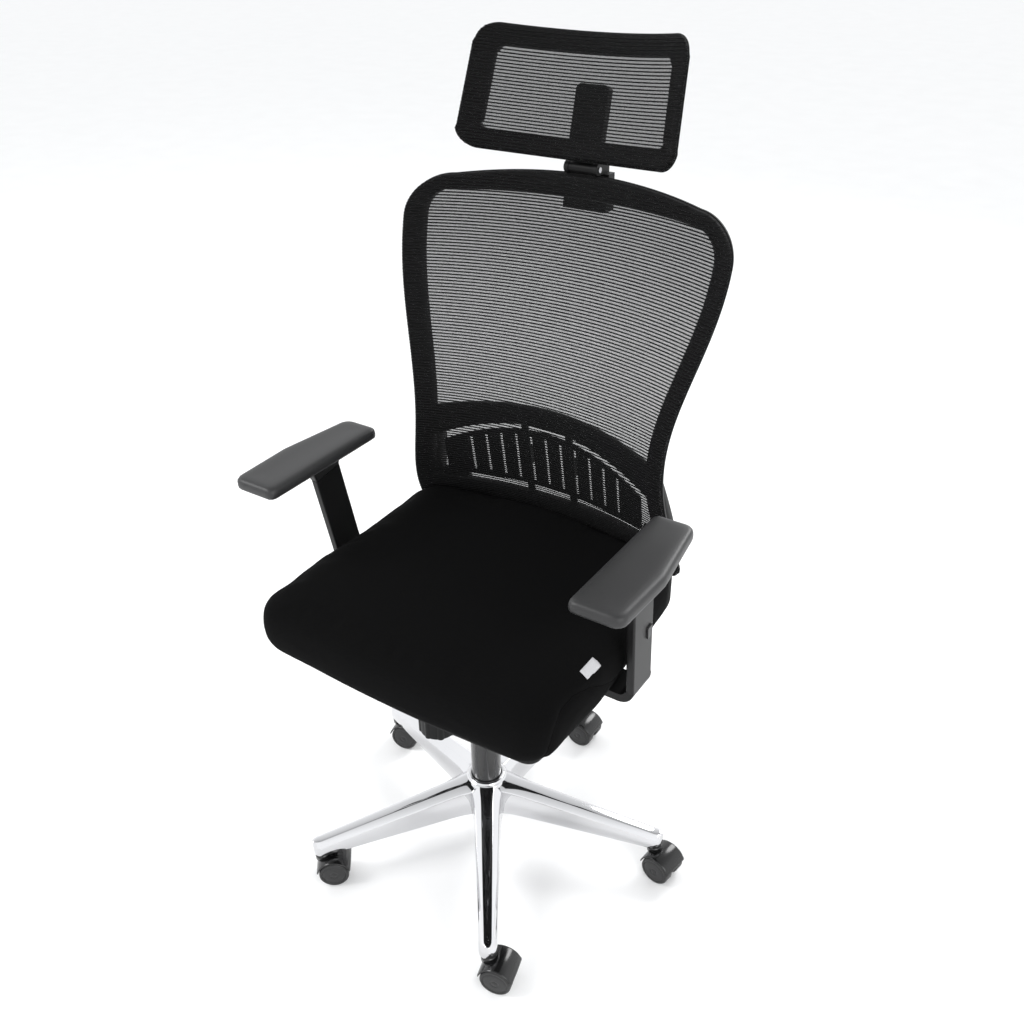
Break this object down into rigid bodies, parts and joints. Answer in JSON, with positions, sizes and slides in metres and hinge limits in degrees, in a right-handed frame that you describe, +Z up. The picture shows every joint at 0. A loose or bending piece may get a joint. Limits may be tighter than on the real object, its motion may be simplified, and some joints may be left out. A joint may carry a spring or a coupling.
{
  "type": "swivel office chair",
  "caption": "Swivel office chair with a curved mesh back, mesh headrest, slotted lumbar plate, height-adjustable arms, padded seat and a polished star base on twin-wheel castors.",
  "frame": {"origin": "on the floor, under the swivel axis", "axes": "+Z up along the swivel axis; the sitter faces -Y, with the sitter's left hand at +X"},
  "size_m": [0.654, 0.5991, 1.2725],
  "materials": {
    "polished_base": "polished",
    "socket_steel": "satin",
    "column_paint": "gloss",
    "black_plastic": "satin",
    "bearing_steel": "ground",
    "machined_steel": "zinc plated",
    "cylinder_chrome": "polished",
    "mechanism_paint": "semi gloss",
    "spring_steel": "oiled",
    "lever_steel": "zinc plated",
    "shell_plastic": "textured",
    "seat_fabric": "woven mesh cloth",
    "tag_cloth": "plain",
    "arm_paint": "satin",
    "arm_plastic": "semi gloss",
    "pad_rubber": "soft satin",
    "button_plastic": "satin",
    "frame_plastic": "satin",
    "back_mesh_cloth": "ribbed mesh cloth",
    "lumbar_plastic": "satin",
    "castor_plastic": "gloss",
    "castor_tread": "semi gloss"
  },
  "bodies": {
    "base": {"star_base": "polished_base", "castor_sockets": "socket_steel", "column_tube": "column_paint", "column_bush": "black_plastic", "thrust_bearing": "bearing_steel"},
    "castor_1_fork": {"castor_1_housing": "castor_plastic"},
    "castor_1_roller": {"castor_1_wheels": "castor_tread"},
    "castor_2_fork": {"castor_2_housing": "castor_plastic"},
    "castor_2_roller": {"castor_2_wheels": "castor_tread"},
    "castor_3_fork": {"castor_3_housing": "castor_plastic"},
    "castor_3_roller": {"castor_3_wheels": "castor_tread"},
    "castor_4_fork": {"castor_4_housing": "castor_plastic"},
    "castor_4_roller": {"castor_4_wheels": "castor_tread"},
    "castor_5_fork": {"castor_5_housing": "castor_plastic"},
    "castor_5_roller": {"castor_5_wheels": "castor_tread"},
    "lift_rod": {"piston_rod": "bearing_steel", "piston_head": "machined_steel", "rod_clip": "machined_steel"},
    "chassis": {"gas_cylinder": "cylinder_chrome", "cylinder_gland": "machined_steel", "tilt_housing": "mechanism_paint", "tilt_axle": "machined_steel", "tension_spring": "spring_steel", "lever_bush": "black_plastic"},
    "height_handle": {"height_lever": "lever_steel", "lever_paddle": "black_plastic"},
    "valve_pin": {"release_pin": "machined_steel"},
    "lock_handle": {"lock_lever": "lever_steel", "lock_paddle": "black_plastic"},
    "seat": {"tilt_plate": "mechanism_paint", "tension_bolt": "machined_steel", "seat_pan": "shell_plastic", "seat_bolts": "machined_steel", "seat_cushion": "seat_fabric", "seat_tag": "tag_cloth", "arm_bracket_left": "arm_paint", "arm_bracket_right": "arm_paint", "arm_sleeve_left": "arm_plastic", "arm_sleeve_right": "arm_plastic", "back_leg_left": "frame_plastic", "back_leg_right": "frame_plastic", "back_frame": "frame_plastic", "back_mesh": "back_mesh_cloth", "headrest_socket": "frame_plastic", "headrest_hinge_pin": "bearing_steel"},
    "knob": {"tension_knob": "black_plastic"},
    "arm_left": {"arm_post_left": "arm_paint", "arm_pad_left": "pad_rubber"},
    "button_left": {"arm_button_left": "button_plastic"},
    "arm_right": {"arm_post_right": "arm_paint", "arm_pad_right": "pad_rubber"},
    "button_right": {"arm_button_right": "button_plastic"},
    "lumbar": {"lumbar_plate": "lumbar_plastic"},
    "head_stem": {"headrest_stem": "lumbar_plastic"},
    "headrest": {"headrest_bracket": "frame_plastic", "headrest_frame": "frame_plastic", "headrest_mesh": "back_mesh_cloth"}
  },
  "joints": [
    {"name": "castor_1_swivel", "type": "hinge", "parent": "base", "child": "castor_1_fork", "pos_m": [0.16539, -0.24064, 0.07], "axis": [0, 0, 1], "continuous": true},
    {"name": "castor_1_roll", "type": "hinge", "parent": "castor_1_fork", "child": "castor_1_roller", "pos_m": [0.18286, -0.23629, 0.025], "axis": [-0.2419, 0.9703, 0], "continuous": true},
    {"name": "castor_2_swivel", "type": "hinge", "parent": "base", "child": "castor_2_fork", "pos_m": [0.27997, 0.08293, 0.07], "axis": [0, 0, 1], "continuous": true},
    {"name": "castor_2_roll", "type": "hinge", "parent": "castor_2_fork", "child": "castor_2_roller", "pos_m": [0.2978, 0.08043, 0.025], "axis": [0.1392, 0.9903, 0], "continuous": true},
    {"name": "castor_3_swivel", "type": "hinge", "parent": "base", "child": "castor_3_fork", "pos_m": [0.00764, 0.2919, 0.07], "axis": [0, 0, 1], "continuous": true},
    {"name": "castor_3_roll", "type": "hinge", "parent": "castor_3_fork", "child": "castor_3_roller", "pos_m": [0.02564, 0.2919, 0.025], "axis": [0, 1, 0], "continuous": true},
    {"name": "castor_4_swivel", "type": "hinge", "parent": "base", "child": "castor_4_fork", "pos_m": [-0.27525, 0.09747, 0.07], "axis": [0, 0, 1], "continuous": true},
    {"name": "castor_4_roll", "type": "hinge", "parent": "castor_4_fork", "child": "castor_4_roller", "pos_m": [-0.25771, 0.10152, 0.025], "axis": [-0.225, 0.9744, 0], "continuous": true},
    {"name": "castor_5_swivel", "type": "hinge", "parent": "base", "child": "castor_5_fork", "pos_m": [-0.17776, -0.23166, 0.07], "axis": [0, 0, 1], "continuous": true},
    {"name": "castor_5_roll", "type": "hinge", "parent": "castor_5_fork", "child": "castor_5_roller", "pos_m": [-0.16357, -0.22058, 0.025], "axis": [-0.6157, 0.788, 0], "continuous": true},
    {"name": "seat_swivel", "type": "hinge", "parent": "base", "child": "lift_rod", "pos_m": [0, 0, 0.1], "axis": [0, 0, 1], "continuous": true},
    {"name": "height_slide", "type": "slide", "parent": "lift_rod", "child": "chassis", "axis": [0, 0, 1], "range_m": [-0.065, 0.02]},
    {"name": "height_lever_lift", "type": "hinge", "parent": "chassis", "child": "height_handle", "pos_m": [-0.05, -0.038, 0.414], "axis": [0, 1, 0], "range_deg": [0, 5.5], "stiffness_Nm_per_rad": 2, "springref_deg": -22.92},
    {"name": "valve_press", "type": "slide", "parent": "chassis", "child": "valve_pin", "axis": [0, 0, -1], "range_m": [0, 0.005]},
    {"name": "lock_turn", "type": "hinge", "parent": "chassis", "child": "lock_handle", "pos_m": [-0.06, -0.095, 0.402], "axis": [1, 0, 0], "range_deg": [0, 60]},
    {"name": "seat_tilt", "type": "hinge", "parent": "chassis", "child": "seat", "pos_m": [0, -0.062, 0.42], "axis": [-1, 0, 0], "range_deg": [0, 6.5], "stiffness_Nm_per_rad": 60, "springref_deg": -34.38, "deforming": ["tension_spring"]},
    {"name": "knob_turn", "type": "hinge", "parent": "seat", "child": "knob", "pos_m": [0, -0.12, 0.35], "axis": [0, 0, 1], "range_deg": [0, 720]},
    {"name": "arm_left_height", "type": "slide", "parent": "seat", "child": "arm_left", "axis": [0.05, -0.153, 0.987], "range_m": [0, 0.07]},
    {"name": "arm_left_press", "type": "slide", "parent": "seat", "child": "button_left", "axis": [-0.9987, 0, 0.0506], "range_m": [0, 0.0015], "stiffness_N_per_m": 1500, "springref_m": -0.001},
    {"name": "arm_right_height", "type": "slide", "parent": "seat", "child": "arm_right", "axis": [-0.05, -0.153, 0.987], "range_m": [0, 0.07]},
    {"name": "arm_right_press", "type": "slide", "parent": "seat", "child": "button_right", "axis": [0.9987, 0, 0.0506], "range_m": [0, 0.0015], "stiffness_N_per_m": 1500, "springref_m": -0.001},
    {"name": "lumbar_slide", "type": "slide", "parent": "seat", "child": "lumbar", "axis": [0, -0.1582, 0.9874], "range_m": [-0.01, 0.004]},
    {"name": "headrest_tilt", "type": "hinge", "parent": "seat", "child": "head_stem", "pos_m": [0, 0.28986, 1.088], "axis": [1, 0, 0], "range_deg": [-12, 18]},
    {"name": "headrest_height", "type": "slide", "parent": "head_stem", "child": "headrest", "axis": [0, 0.2656, 0.9641], "range_m": [0, 0.045]}
  ],
  "couplings": [
    {"joint": "valve_press", "follows": "height_lever_lift", "m_per_rad": 0.05}
  ]
}
